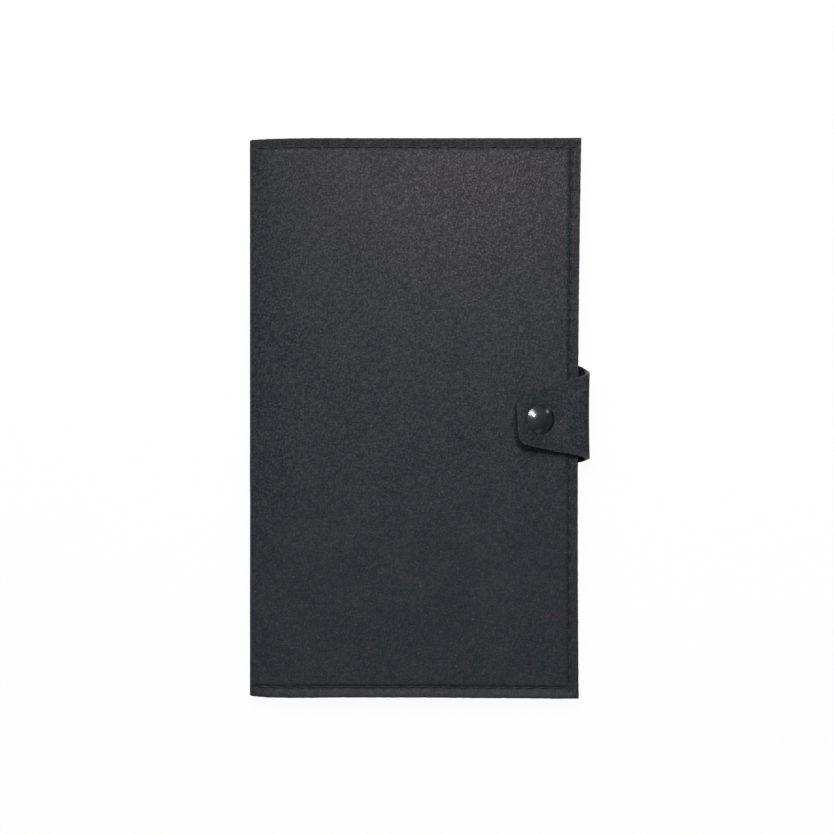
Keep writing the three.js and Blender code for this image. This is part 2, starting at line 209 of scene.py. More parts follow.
# Thread, lacquer and steel: a coarse and a fine pattern share in the colour and the roughness
threadLook = {
    "colours": ((0.0125, 0.0175, 0.0190, 1), (0.0290, 0.0345, 0.0365, 1)),
    "coarse": (240.0, 2.0, 0.5), "fine": (2600.0, 1.0, 0.5), "bump": 0.6, "relief": 0.08,
    "colourShares": (0.4, 0.6), "colourRange": (0.38, 0.64),
    "roughShares": (1.0, 0.0), "roughRange": (0.3, 0.7), "rough": (0.36, 0.52),
    "sockets": {"Specular IOR Level": 0.22},
}
lacquerLook = {
    "colours": ((0.0018, 0.0062, 0.0076, 1), (0.0045, 0.0086, 0.0098, 1)),
    "coarse": (420.0, 3.0, 0.6), "fine": (900.0, 1.0, 0.5), "bump": 0.05, "relief": 0.03,
    "colourShares": (1.0, 0.0), "colourRange": (0.45, 0.75),
    "roughShares": (1.0, 0.0), "roughRange": (0.3, 0.7), "rough": (0.18, 0.22),
    "sockets": {"IOR": 1.84, "Specular Tint": (0.93, 1.0, 1.01, 1)},
}
steelLook = {
    "colours": ((0.30, 0.30, 0.31, 1), (0.17, 0.17, 0.18, 1)),
    "coarse": (300.0, 3.0, 0.6), "fine": (1800.0, 2.0, 0.6), "bump": 0.12, "relief": 0.03,
    "colourShares": (1.0, 0.0), "colourRange": (0.42, 0.7),
    "roughShares": (0.5, 0.5), "roughRange": (0.35, 0.65), "rough": (0.24, 0.42),
    "sockets": {"Metallic": 1.0},
}


def wornMaterial(name, look):
    material, tree = newMaterial(name)
    place = wireNode(tree, "ShaderNodeTexCoord", {}, {}, "Object")
    coarse, fine = noise(tree, place, *look["coarse"]), noise(tree, place, *look["fine"])
    tint, polish = [coarse * one + fine * other for one, other in (look["colourShares"], look["roughShares"])]
    shader = wireNode(tree, "ShaderNodeBsdfPrincipled", {}, {
        "Base Color": mixColour(tree, between(tree, tint, *look["colourRange"]), *look["colours"]),
        "Roughness": between(tree, polish, *look["roughRange"], *look["rough"]),
        "Normal": addBump(tree, look, fine), **look["sockets"]})
    finishMaterial(tree, shader)
    return material


coverFelt = feltMaterial("coverFelt", outerFelt)
strapFelt = feltMaterial("strapFelt", outerFelt)
pocketFelt = feltMaterial("pocketFelt", pocketFeltLook)
seamThread = wornMaterial("seamThread", threadLook)
snapLacquer = wornMaterial("snapLacquer", lacquerLook)
snapSteel = wornMaterial("snapSteel", steelLook)
print("materials made")


def smooth(value, low, high):
    t = np.clip((value - low) / (high - low), 0, 1)
    return t * t * (3 - 2 * t)


def fade(value, low, high):
    return 1 - smooth(value, low, high)


def bell(value, reach):
    return np.exp(-(value / reach) ** 2)


def unit(vector):
    return vector / np.linalg.norm(vector)


# A few waves that never quite repeat, between about -1 and 1
def drift(along, longest, turn):
    total = 0.0
    for step, share in enumerate((0.5, 0.3, 0.2)):
        total = total + share * np.sin(2 * np.pi * along * (1.0 + 1.27 * step) / longest + turn * (1 + step))
    return total


# Each row is a size, a longest wave and a turn
def ripples(along, rows, shift=0.0):
    return sum(size * drift(along, longest, turn + shift) for size, longest, turn in rows)


# A line resampled evenly by its length, with its heading at each point
def evenPath(x, z, count):
    length = np.append(0, np.cumsum(np.hypot(np.diff(x), np.diff(z))))
    even = np.linspace(0, length[-1], count)
    x, z = np.interp(even, length, x), np.interp(even, length, z)
    dx, dz = np.gradient(x), np.gradient(z)
    size = np.hypot(dx, dz)
    return even, x, z, dx / size, dz / size


def addAttribute(mesh, name, kind, key, values):
    mesh.attributes.new(name, kind, "POINT").data.foreach_set(key, values.astype(np.float32).ravel())


def linkObject(name, data):
    made = bpy.data.objects.new(name, data)
    bpy.context.scene.collection.objects.link(made)
    return made


def newPiece(name, points, faces, material, rest=None, shade=None, sharp=38.0):
    mesh = bpy.data.meshes.new(name)
    mesh.from_pydata((points * mm).tolist(), [], [tuple(f) for f in faces])
    mesh.shade_smooth()
    mesh.set_sharp_from_angle(angle=math.radians(sharp))
    if rest is not None:
        addAttribute(mesh, "feltRest", "FLOAT_VECTOR", "vector", rest)
        addAttribute(mesh, "feltShade", "FLOAT", "value", shade)
    mesh.materials.append(material)
    return linkObject(name, mesh)


# Closes two grids of points, the outer and the inner face of a sheet, with a wall round their edges
def closedSheet(name, outer, inner, flat, felt, material, flip, shade=0.0):
    rows, columns = outer.shape[:2]
    count = rows * columns
    index = np.arange(count).reshape(rows, columns)
    face = np.stack([index[:-1, :-1], index[1:, :-1], index[1:, 1:], index[:-1, 1:]], -1).reshape(-1, 4)
    ring = np.concatenate([index[:-1, 0], index[-1, :-1], index[:0:-1, -1], index[0, :0:-1]])
    after = np.roll(ring, -1)
    wall = np.stack([ring, ring + count, after + count, after], -1)
    faces = np.concatenate([face, face[:, ::-1] + count, wall])
    faces = faces[:, ::-1] if flip else faces
    points = np.concatenate([outer.reshape(-1, 3), inner.reshape(-1, 3)])
    depth = np.zeros((rows, columns, 1))
    rest = np.concatenate([np.concatenate([flat, depth], -1).reshape(-1, 3),
                           np.concatenate([flat, depth + felt], -1).reshape(-1, 3)])
    shades = np.tile(np.broadcast_to(shade, (rows, columns)).ravel(), 2)
    return newPiece(name, points, faces, material, rest, shades)


cutSteps = np.array([0.0, 0.06, 0.2, 0.45, 0.8])  # marks that follow a rounded cut edge


# Ticks along one side of a sheet: fine where asked, with rounded cut edges at its ends
def ticks(start, end, step, fine=(), fineStep=0.4, roundStart=True, roundEnd=True):
    low = start + (cutSteps if roundStart else cutSteps[:1])
    high = end - (cutSteps[::-1] if roundEnd else cutSteps[:1])
    marks = [low, high]
    at = low[-1]
    while at < high[0] - 0.6 * step:  # the last step may be a little longer
        near = any(a <= at < b for a, b in fine)
        at += fineStep if near else step
        if at < high[0] - 0.2:
            marks.append([at])
    return np.unique(np.round(np.concatenate(marks), 5))


# How much of the felt's face is lost to the rounded cut edge at this distance from it
def edgeLoss(distance, radius):
    reach = np.clip(radius - distance, 0, radius)
    return radius - np.sqrt(radius * radius - reach * reach)


cover = {
    "halfHeight": 110.5, "freeEdge": 65.0, "spineLine": -65.45, "curveStart": -25.0, "roundness": 2.6,
    "thickness": 12.0, "felt": 2.0, "edgeRadius": 0.35, "curveSteps": 6000, "sectionSteps": 2600,
    "step": 1.0, "fineStep": 0.4, "fineBand": 7.5, "fineSpine": 9,
    "seamRight": 3.35, "seamTop": 3.45, "seamBottom": 4.2, "rowGrows": (-2.4, -0.2),
    "pinch": 0.84, "pinchTop": 0.7, "pinchBottom": 1.03, "pinchInside": 0.9, "pinchInsideLow": 0.8,
    "pinchOutside": 2.5, "pinchFrom": (0.5, 6), "pinchThrough": 0.15, "pucker": 0.1, "pitch": 5.2,
    # painted shade in and beside the seam rows: how dark it is, and how far it reaches inside and outside
    "shade": 0.26, "shadeTop": 0.3, "shadeBottom": 0.08, "shadeInside": 0.8, "shadeOutside": 1.1,
    "shadeTopOutside": 1.75, "shadeFrom": (1, 7),
    "crown": 0.3, "crownEdge": (4, 50), "crownEnd": (4, 60), "crownSpine": (-52, 0),
    "wave": 0.1, "waveX": (0.35, 96, 0.4), "waveY": (-0.2, 83, 1.3), "waveReach": (5, 22), "backWave": 0.3,
    "frontPull": (-0.13, 0.525, 0.40), "backPull": ((0.15, 150, 1.0),), "pullFrom": (20, 65),
    "edgePull": 0.37, "edgePullFrom": (60, 65), "edgeRipples": ((0.05, 9.0, 2.0), (0.04, 2.7, 0.7)),
    "topPull": -0.08, "bottomPull": 0.1, "endLean": 0.08, "endLeanFrom": (0, 60), "endPullFrom": (70, 110),
    "endRipples": ((0.06, 120, 2.0), (0.04, 8.0, 1.0)), "endFineRipples": ((0.035, 2.9, 2.2),),
    "bottomTrim": ((-65, 0.2), (-58, 0.4), (-49, 0.33), (-33, 0.05), (6, 0.12), (26, 0.28), (46, 0.4),
                   (58, 0.5), (65, 0.35)),
    "seatLean": (5.2, 10.5), "seatInside": (0.95, 4.0, 6.4), "seatOutside": (-0.32, 5.0, 6.6),
}
snapPlace = {"at": np.array([48.4, -0.3, 12.0]), "tilt": math.radians(10), "capTilt": math.radians(21.5),
             "capShift": np.array([0.25, -0.4, 0.0])}


# The cover's section, from the middle of the spine to the free edge, by length along the outer face
def coverSection():
    angle = np.linspace(0, np.pi / 2, cover["curveSteps"])
    power = 2 / cover["roundness"]
    half = cover["thickness"] / 2
    x = cover["curveStart"] + (cover["spineLine"] - cover["curveStart"]) * np.cos(angle) ** power
    z = half + half * np.sin(angle) ** power
    return evenPath(np.append(x, cover["freeEdge"]), np.append(z, cover["thickness"]), cover["sectionSteps"])


sectionRun, sectionX, sectionZ, headX, headZ = coverSection()
sectionNx, sectionNz = -headZ, headX  # out of the outer face
coverRun = sectionRun[-1]
seamRun = coverRun - cover["seamRight"]
seamHigh, seamLow = cover["halfHeight"] - cover["seamTop"], cover["seamBottom"] - cover["halfHeight"]


# Distances inwards from the row along the free edge and from the row at the nearer end
def insideSeams(run, y):
    return seamRun - run, np.where(y > 0, seamHigh - y, y - seamLow)


# How far the tight seam draws the felt in: steep inside the row, a longer ramp out to the edge.
# A row ends where it has crossed the next one
def seamPinch(inside, other, along, reach):
    deep = cover["pinch"] * (1 + cover["pucker"] * np.cos(2 * np.pi * along / cover["pitch"]))
    deep = deep * smooth(other, *cover["rowGrows"])
    return deep * bell(inside, np.where(inside > 0, reach, cover["pinchOutside"]))


# Painted shade: the felt in and beside the furrow is drawn darker, where shade falls
def rowShade(inside, other, outside):
    reach = np.where(inside > 0, cover["shadeInside"], outside)
    return bell(inside, reach) * smooth(other, *cover["rowGrows"])


def seamShade(run, y):
    insideX, insideY = insideSeams(run, y)
    rightRow = cover["shade"] * rowShade(insideX, insideY, cover["shadeOutside"])
    outside = np.where(y > 0, cover["shadeTopOutside"], cover["shadeOutside"])
    endRow = np.where(y > 0, cover["shadeTop"], cover["shadeBottom"]) * rowShade(insideY, insideX, outside)
    return np.maximum(rightRow, endRow) * smooth(run, *cover["shadeFrom"])


# The cut isn't quite straight: how far the free edge and the ends stray
def coverShift(side, x, y):
    t = y / cover["halfHeight"]
    if side > 0:
        level, slope, bend = cover["frontPull"]
        rightPull, edgePull = level + slope * t + bend * t * t, cover["edgePull"] * t * t
    else:
        rightPull, edgePull = ripples(y, cover["backPull"]), 0.0
    rightPull = rightPull + ripples(y, cover["edgeRipples"])
    bottomPull = cover["bottomPull"] + np.interp(x, *zip(*cover["bottomTrim"]))
    endPull = np.where(y > 0, cover["topPull"], bottomPull)
    endPull = endPull + cover["endLean"] * smooth(x, *cover["endLeanFrom"])
    endPull = endPull + ripples(x, cover["endRipples"], side) + ripples(x, cover["endFineRipples"])
    shiftX = rightPull * smooth(x, *cover["pullFrom"]) + edgePull * smooth(x, *cover["edgePullFrom"])
    return shiftX, np.sign(y) * endPull * smooth(np.abs(y), *cover["endPullFrom"])


# A slow swell in the felt, and on the front a crown over what is inside
def coverSwell(side, x, y, toEdge, toEnd):
    slantX, longX, turnX = cover["waveX"]
    slantY, longY, turnY = cover["waveY"]
    swell = cover["wave"] * drift(x + slantX * y, longX, turnX) * drift(y + slantY * x, longY, turnY)
    swell = swell * smooth(toEdge, *cover["waveReach"]) * smooth(toEnd, *cover["waveReach"])
    if side < 0:
        return swell * cover["backWave"]
    crown = cover["crown"] * smooth(toEdge, *cover["crownEdge"]) * smooth(toEnd, *cover["crownEnd"])
    return swell + crown * smooth(x, *cover["crownSpine"])


# A point of the cover's outer or inner face. Side is 1 for the front and -1 for the back
def coverPoint(side, run, y, inner):
    x, z, nx, nz = (np.interp(run, sectionRun, line) for line in (sectionX, sectionZ, sectionNx, sectionNz))
    toEdge, toEnd = coverRun - run, cover["halfHeight"] - np.abs(y)
    shiftX, shiftY = coverShift(side, x, y)
    insideX, insideY = insideSeams(run, y)
    reach = np.where(y > 0, cover["pinchInside"], cover["pinchInsideLow"])
    endShare = np.where(y > 0, cover["pinchTop"], cover["pinchBottom"])
    endPinch = endShare * seamPinch(insideY, insideX, run, reach)
    rightPinch = seamPinch(insideX, insideY, y, cover["pinchInside"])
    pinch = np.maximum(rightPinch, endPinch) * smooth(run, *cover["pinchFrom"])
    swell = coverSwell(side, x, y, toEdge, toEnd)
    loss = edgeLoss(np.minimum(toEdge, toEnd), cover["edgeRadius"])
    if inner:
        lift = swell - cover["felt"] + cover["pinchThrough"] * pinch + loss
    else:
        lift = (np.minimum(swell, 0.0) if side < 0 else swell) - pinch - loss
    x, z = x + nx * lift + shiftX, z + nz * lift
    z = z + studSeat(x, y, inner) if side > 0 else cover["thickness"] - z
    return np.stack([x, y + shiftY, z], -1)


# The felt leans with the snap's stud, and the rivet behind it nips the felt
def studSeat(x, y, inner):
    across = x - snapPlace["at"][0]
    away = np.hypot(across, y - snapPlace["at"][1])
    lean = -np.tan(snapPlace["tilt"]) * across * fade(away, *cover["seatLean"])
    nip, near, far = cover["seatInside" if inner else "seatOutside"]
    return lean + nip * fade(away, near, far)


def coverTicks():
    top, band = cover["halfHeight"], cover["fineBand"]
    runs = ((0, cover["fineSpine"]), (coverRun - band, coverRun))
    ends = ((-top, band - top), (top - band, top))
    return (ticks(0, coverRun, cover["step"], runs, cover["fineStep"], False),
            ticks(-top, top, cover["step"], ends, cover["fineStep"]))


def makeCover(name, side):
    run, y = np.meshgrid(*coverTicks(), indexing="ij")
    flat = np.stack([run * side, y], -1)
    outer, inner = coverPoint(side, run, y, False), coverPoint(side, run, y, True)
    return closedSheet(name, outer, inner, flat, cover["felt"], coverFelt, side < 0, seamShade(run, y))


def bendRoundSpine(piece, side):
    if side > 0:
        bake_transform(piece)
    else:
        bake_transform(piece)


coverFront = makeCover("coverFront", 1)
bendRoundSpine(coverFront, 1)
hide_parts("front_cover")
coverBack = makeCover("coverBack", -1)
bendRoundSpine(coverBack, -1)
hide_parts("back_cover", "spine")
for piece, below in ((coverFront, "document_pocket"), (coverBack, "ticket_pocket")):
    coverRun * mm
print("cover made, half is", round(coverRun, 1), "mm wide")


# Both pockets are sewn down on three sides and open towards the spine. The back one is a shallow tray.
# A rest shift gives each sheet its own part of the felt's pattern
pocket = {
    "mouth": -46.0, "felt": 1.0, "step": 1.5, "fineStep": 0.5, "fineX": 57.0, "fineY": 102.0, "inset": 4.0,
    "groove": 0.42, "grooveReach": 0.9, "pucker": 0.25, "edgeRadius": 0.28,
}
ticketTray = {
    "base": 2.3, "rise": 4.0, "riseFrom": (6.5, 13.5), "restShift": 300,
    "waves": ((0.12, 58, 0.8),), "waveX": 0.7, "waveY": 0.4, "waveFrom": (12, 30), "sink": 0.1,
}
documentPanel = {"low": 8.5, "sag": 0.12, "sagReach": 8, "restShift": 600}


# Points of a flat sheet, closer together along its seams
def flatGrid(left, right, low, high, step, seams):
    fineX, fineY = [[(a, b) for axis, a, b in seams if axis == name] for name in "xy"]
    alongX = ticks(left, right, step, fineX, pocket["fineStep"])
    alongY = ticks(low, high, step, fineY, pocket["fineStep"])
    return np.meshgrid(alongX, alongY, indexing="ij")


def pocketGrid():
    edge, end, mouth = cover["freeEdge"], cover["halfHeight"], pocket["mouth"]
    seams = (("x", pocket["fineX"], edge), ("y", -end, -pocket["fineY"]), ("y", pocket["fineY"], end))
    x, y = flatGrid(mouth, edge, -end, end, pocket["step"], seams)
    toSide, toTop = edge - x, end - np.abs(y)
    toEnd = np.minimum(toSide, toTop)
    along = np.where(toSide < toTop, y, x)
    groove = pocket["groove"] * bell(toEnd - pocket["inset"], pocket["grooveReach"])
    groove = groove * (1 + pocket["pucker"] * np.cos(2 * np.pi * along / cover["pitch"]))
    return x, y, toEnd, groove, edgeLoss(np.minimum(toEnd, x - mouth), pocket["edgeRadius"])


def makeTicketPocket():
    tray = ticketTray
    x, y, toEnd, groove, loss = pocketGrid()
    waves = ripples(x * tray["waveX"] + y * tray["waveY"], tray["waves"]) - tray["sink"]
    low = tray["base"] + tray["rise"] * smooth(toEnd, *tray["riseFrom"])
    low = low + waves * smooth(toEnd, *tray["waveFrom"])
    outer = np.stack([x, y, low + pocket["felt"] - groove - loss], -1)
    inner = np.stack([x, y, low + loss], -1)
    flat = np.stack([x + tray["restShift"], y], -1)
    return closedSheet("ticketPocket", outer, inner, flat, pocket["felt"], pocketFelt, False)


ticketPocket = makeTicketPocket()
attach(ticketPocket, "back_cover")
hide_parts("ticket_pocket")


def makeDocumentPocket():
    panel, mouth = documentPanel, pocket["mouth"]
    x, y, toEnd, groove, loss = pocketGrid()
    sag = panel["sag"] * fade(x, mouth, mouth + panel["sagReach"])
    low = np.stack([x, y, panel["low"] + groove + loss], -1)
    high = np.stack([x, y, panel["low"] + pocket["felt"] - loss - sag], -1)
    flat = np.stack([x + panel["restShift"], y], -1)
    return closedSheet("documentPocket", low, high, flat, pocket["felt"], pocketFelt, True)


documentPocket = makeDocumentPocket()
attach(documentPocket, "front_cover")
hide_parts("document_pocket")

cardSlot = {
    "middle": 7.5, "width": 95.0, "depth": 40.0, "pitch": 58.0, "low": 7.6, "felt": 0.6, "seam": 2.2,
    "step": 1.5, "fineBand": 4, "groove": 0.2, "grooveReach": 0.7, "bulge": 0.12, "bulgeFrom": (3, 14),
    "edgeRadius": 0.18, "restShift": 900, "restStep": 120, "rowStop": 0.8,
}


def makeCardSlot(number):
    middle, band = (1 - number) * cardSlot["pitch"], cardSlot["fineBand"]
    left, right = cardSlot["middle"] - cardSlot["width"] / 2, cardSlot["middle"] + cardSlot["width"] / 2
    low, high = middle - cardSlot["depth"] / 2, middle + cardSlot["depth"] / 2
    zones = (("x", left, left + band), ("x", right - band, right), ("y", low, low + band))
    x, y = flatGrid(left, right, low, high, cardSlot["step"], zones)
    toSeam = np.minimum(np.minimum(x - left, right - x), y - low)
    groove = cardSlot["groove"] * bell(toSeam - cardSlot["seam"], cardSlot["grooveReach"])
    bulge = cardSlot["bulge"] * smooth(toSeam, *cardSlot["bulgeFrom"])
    loss = edgeLoss(np.minimum(toSeam, high - y), cardSlot["edgeRadius"])
    under = np.stack([x, y, cardSlot["low"] + groove + loss - bulge], -1)
    over = np.stack([x, y, cardSlot["low"] + cardSlot["felt"] - loss - bulge], -1)
    flat = np.stack([x + cardSlot["restShift"] + cardSlot["restStep"] * number, y], -1)
    return closedSheet(f"cardSlot{number + 1}", under, over, flat, cardSlot["felt"], pocketFelt, True)


cardSlots = [makeCardSlot(number) for number in range(3)]
for number, piece in enumerate(cardSlots):
    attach(piece, "front_cover")
    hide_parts(f"card_slot_{number + 1}")
print("pockets made")


# The strap, along its outer face: sewn end, back fold, front fold, tip
strap = {
    "corners": ((58.3, 3.6), (67.1, 3.6), (70.15, 14.1), (56.5, 15.3), (40.3, 20.3)),
    "bends": (2.2, 2.3, 32.0), "bendSteps": 40, "pathSteps": 1500, "flapSteps": 900, "felt": 1.8,
    "topSide": ((-40, 4.5), (0, 18.0), (10.7, 21.0), (19, 22.4)),
    "lowSide": ((-40, -8.4), (0, -16.4), (10.7, -18.3), (19, -19.1)),
    "tipRadius": 3.6, "tipBlunt": 0.97, "tipSlant": 0.8, "slantReach": 12, "edgeRadius": 0.22, "step": 0.6,
    "sideSteps": np.array([0.0, 0.06, 0.2, 0.4, 0.8]), "columns": 56, "splitShift": 0.6, "restShift": 1500,
    "bow": 0.1, "foldDip": 0.3, "dipReach": 3.0, "foldWear": 0.3, "wearPast": 1, "wearReach": 2.6,
    "flapFrom": (2, 9), "waves": ((0.05, 31, 0.7),), "waveSlant": 0.4,
    "capX": 49.35, "capY": -0.35, "capLean": 0.1, "leanReach": (5.8, 12.0),
    "press": 0.22, "pressReach": (5.6, 7.2), "seat": 0.30, "seatReach": (4.9, 6.0),
    "sway": ((0.04, 7.0, 0.6),), "swayFrom": (0.6, 1.0),
    "fineSway": ((0.03, 2.6, 1.9),), "fineFrom": (0.8, 1.0),
    # painted shade under the cap and on the wall's cut edges; crest and brink lighten the fold, partly wear
    # and partly painted highlight
    "capShade": 0.2, "capShadeReach": (5.7, 6.6),
    "wallShade": 0.8, "wallStart": (-12, -9), "wallEnd": (-2.5, -1), "wallEdge": (0.2, 0.8),
    "crest": 0.14, "crestReach": 1.1,
    "brink": 0.6, "brinkPast": 1.5, "brinkReach": 3.0, "brinkEdge": (0.25, 0.9),
}


# The path with its bends rounded, by length, with its heading at each point
def strapPath():
    corners = [np.array(c) for c in strap["corners"]]
    points = [corners[0]]
    for before, corner, after, radius in zip(corners, corners[1:], corners[2:], strap["bends"]):
        into, out = unit(corner - before), unit(after - corner)
        side = 1 if into[0] * out[1] > into[1] * out[0] else -1
        turn = math.acos(np.clip(into @ out, -1, 1))
        spoke = side * radius * np.array([into[1], -into[0]])
        centre = corner - into * radius * math.tan(turn / 2) - spoke
        for angle in side * turn * np.linspace(0, 1, strap["bendSteps"]):
            points.append(centre + np.array([spoke[0] * math.cos(angle) - spoke[1] * math.sin(angle),
                                             spoke[0] * math.sin(angle) + spoke[1] * math.cos(angle)]))
    points.append(corners[-1])
    return evenPath(*np.array(points).T, strap["pathSteps"])


strapRun, strapX, strapZ, headX, headZ = strapPath()
strapNx, strapNz = headZ, -headX  # out of the outer face
strapLength = strapRun[-1]
frontFoldAt = strapRun[np.argmax(strapX)]
onFlap = slice(None, -strap["flapSteps"] - 1, -1)  # from the tip back, where x only grows
capSpot = np.interp(strap["capX"], strapX[onFlap], strapRun[onFlap])


def strapGrid(start, end, roundStart, roundEnd):
    run = ticks(start, end, strap["step"], roundStart=roundStart, roundEnd=roundEnd)
    before = frontFoldAt - run
    top, low = np.interp(before, *zip(*strap["topSide"])), np.interp(before, *zip(*strap["lowSide"]))
    radius = strap["tipRadius"]
    into = np.clip(run - (strapLength - radius), 0, radius)
    corner = np.minimum(radius - np.sqrt(radius * radius - into * into), radius * strap["tipBlunt"])
    top, low = top - corner, low + corner
    edge, inner = strap["sideSteps"], np.linspace(0, 1, strap["columns"])[1:-1]
    y = np.array([np.concatenate([a + edge, a + edge[-1] + inner * (b - a - 2 * edge[-1]), b - edge[::-1]])
                  for a, b in zip(low, top)])
    return np.repeat(run[:, None], y.shape[1], 1), y, low[:, None], top[:, None]


# Painted shade darkens the felt under and round the cap and on the cut edges of the wall. The fold's crest
# and the cut edges just past it are lighter, partly worn felt and partly painted highlight
def strapShades(past, toEdge, away):
    onWall = smooth(past, *strap["wallStart"]) * fade(past, *strap["wallEnd"])
    shade = np.maximum(strap["capShade"] * fade(away, *strap["capShadeReach"]),
                       strap["wallShade"] * onWall * fade(toEdge, *strap["wallEdge"]))
    brink = bell(past - strap["brinkPast"], strap["brinkReach"]) * (1 - onWall)
    brink = brink * fade(toEdge, *strap["brinkEdge"])
    return shade - strap["crest"] * bell(past, strap["crestReach"]) - strap["brink"] * brink


def makeStrap(name, start, end, roundStart, roundEnd):
    run, y, low, top = strapGrid(start, end, roundStart, roundEnd)
    x, z, nx, nz = (np.interp(run, strapRun, line) for line in (strapX, strapZ, strapNx, strapNz))
    toEdge = np.minimum(y - low, top - y)
    if roundStart:
        toEdge = np.minimum(toEdge, run - start)
    if roundEnd:
        toEdge = np.minimum(toEdge, end - run)
    past = run - frontFoldAt
    worn = strap["foldWear"] * bell(past - strap["wearPast"], strap["wearReach"])
    loss = edgeLoss(toEdge, strap["edgeRadius"] + worn)
    across = (2 * y - top - low) / (top - low)
    flapShare = smooth(past, *strap["flapFrom"])
    bow = strap["bow"] * np.sin(np.pi * np.clip(past / (strapLength - frontFoldAt), 0, 1))
    away = np.hypot(run - capSpot, y - strap["capY"])
    lean = strap["capLean"] * (run - capSpot) * fade(away, *strap["leanReach"])
    waves = ripples(y + strap["waveSlant"] * run, strap["waves"]) * flapShare
    dip = strap["foldDip"] * (1 - across ** 2) * bell(past, strap["dipReach"])
    lift = bow + (lean + waves) * flapShare - dip
    press = strap["press"] * fade(away, *strap["pressReach"])
    seat = strap["seat"] * fade(away, *strap["seatReach"])
    sway = (ripples(run, strap["sway"]) * smooth(np.abs(across), *strap["swayFrom"])
            + ripples(run, strap["fineSway"]) * smooth(np.abs(across), *strap["fineFrom"]))
    slant = -strap["tipSlant"] / 2 * across * smooth(run, strapLength - strap["slantReach"], strapLength)
    outer, inner = (np.stack([x + nx * depth + slant, y + sway, z + nz * depth], -1)
                    for depth in (lift - press - loss, lift - strap["felt"] + seat + loss))
    flat = np.stack([strap["restShift"] + run, y], -1)
    shade = strapShades(past, toEdge, away)
    return closedSheet(name, outer, inner, flat, strap["felt"], strapFelt, True, shade)


sewnRun = strap["corners"][1][0] - strap["corners"][0][0]
edgeMiddle = sewnRun + 0.5 * (frontFoldAt - sewnRun) - strap["splitShift"]
strapLower = makeStrap("strapLower", 0.0, edgeMiddle, True, False)
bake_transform(strapLower)
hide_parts("strap_root")
edgeMiddle * mm
0.0392 * edgeMiddle * mm
strapUpper = makeStrap("strapUpper", edgeMiddle, strapLength, False, True)
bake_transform(strapUpper)
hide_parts("strap_edge", "strap_flap")
(strapLength - edgeMiddle) * mm
0.0285 * (strapLength - edgeMiddle) * mm
print("strap made,", round(strapLength, 1), "mm long")


# One row of machine stitches along each open line of the path mesh
def stitchTree():
    tree = bpy.data.node_groups.new("stitchRow", "GeometryNodeTree")
    names = {"Geometry": "NodeSocketGeometry", "Pitch": "NodeSocketFloat", "Stitch Length": "NodeSocketFloat",
             "Thread Radius": "NodeSocketFloat", "Rise": "NodeSocketFloat", "Sink": "NodeSocketFloat",
             "Sway": "NodeSocketFloat", "Seed": "NodeSocketInt", "Thread": "NodeSocketMaterial"}
    for label, kind in names.items():
        tree.interface.new_socket(label, in_out="INPUT", socket_type=kind)
    tree.interface.new_socket("Geometry", in_out="OUTPUT", socket_type="NodeSocketGeometry")
    entry = tree.nodes.new("NodeGroupInput")
    value = {label: Wire(tree, entry.outputs[label]) for label in names}
    lines = wireNode(tree, "GeometryNodeMeshToCurve", {}, {"Mesh": value["Geometry"]})
    marks = wireNode(tree, "GeometryNodeResampleCurve", {"mode": "LENGTH"},
                     {"Curve": lines, "Length": value["Pitch"]})
    tangent = wireNode(tree, "GeometryNodeInputTangent", {}, {})
    upward = wireNode(tree, "GeometryNodeInputNamedAttribute", {"data_type": "FLOAT_VECTOR"}, {"Name": "up"})
    ahead = wireNode(tree, "FunctionNodeAlignRotationToVector", {"axis": "X"}, {"Vector": tangent})
    laid = wireNode(tree, "FunctionNodeAlignRotationToVector", {"axis": "Z", "pivot_axis": "X"},
                    {"Rotation": ahead, "Vector": upward})
    chance = wireNode(tree, "FunctionNodeRandomValue", {"data_type": "FLOAT"},
                      {2: value["Sway"] * -1.0, 3: value["Sway"], 8: value["Seed"]}, 1)
    yaw = wireNode(tree, "FunctionNodeAxisAngleToRotation", {}, {"Axis": (0, 0, 1), "Angle": chance})
    swayed = wireNode(tree, "FunctionNodeRotateRotation", {"rotation_space": "LOCAL"},
                      {"Rotation": laid, "Rotate By": yaw})
    half, low = value["Stitch Length"] * 0.5, value["Sink"] * -1.0
    start = wireNode(tree, "ShaderNodeCombineXYZ", {}, {"X": half * -1.0, "Z": low})
    crest = wireNode(tree, "ShaderNodeCombineXYZ", {}, {"Z": value["Rise"] * 2.0 + value["Sink"]})
    end = wireNode(tree, "ShaderNodeCombineXYZ", {}, {"X": half, "Z": low})
    arch = wireNode(tree, "GeometryNodeCurveQuadraticBezier", {},
                    {"Resolution": 7, "Start": start, "Middle": crest, "End": end})
    ply = wireNode(tree, "GeometryNodeCurvePrimitiveCircle", {},
                   {"Resolution": 7, "Radius": value["Thread Radius"]})
    stitch = wireNode(tree, "GeometryNodeCurveToMesh", {},
                      {"Curve": arch, "Profile Curve": ply, "Fill Caps": True})
    placed = wireNode(tree, "GeometryNodeInstanceOnPoints", {},
                      {"Points": marks, "Instance": stitch, "Rotation": swayed})
    real = wireNode(tree, "GeometryNodeRealizeInstances", {}, {"Geometry": placed})
    even = wireNode(tree, "GeometryNodeSetShadeSmooth", {}, {"Geometry": real})
    done = wireNode(tree, "GeometryNodeSetMaterial", {}, {"Geometry": even, "Material": value["Thread"]})
    wireNode(tree, "NodeGroupOutput", {}, {"Geometry": done})
    return tree


stitchRow = stitchTree()


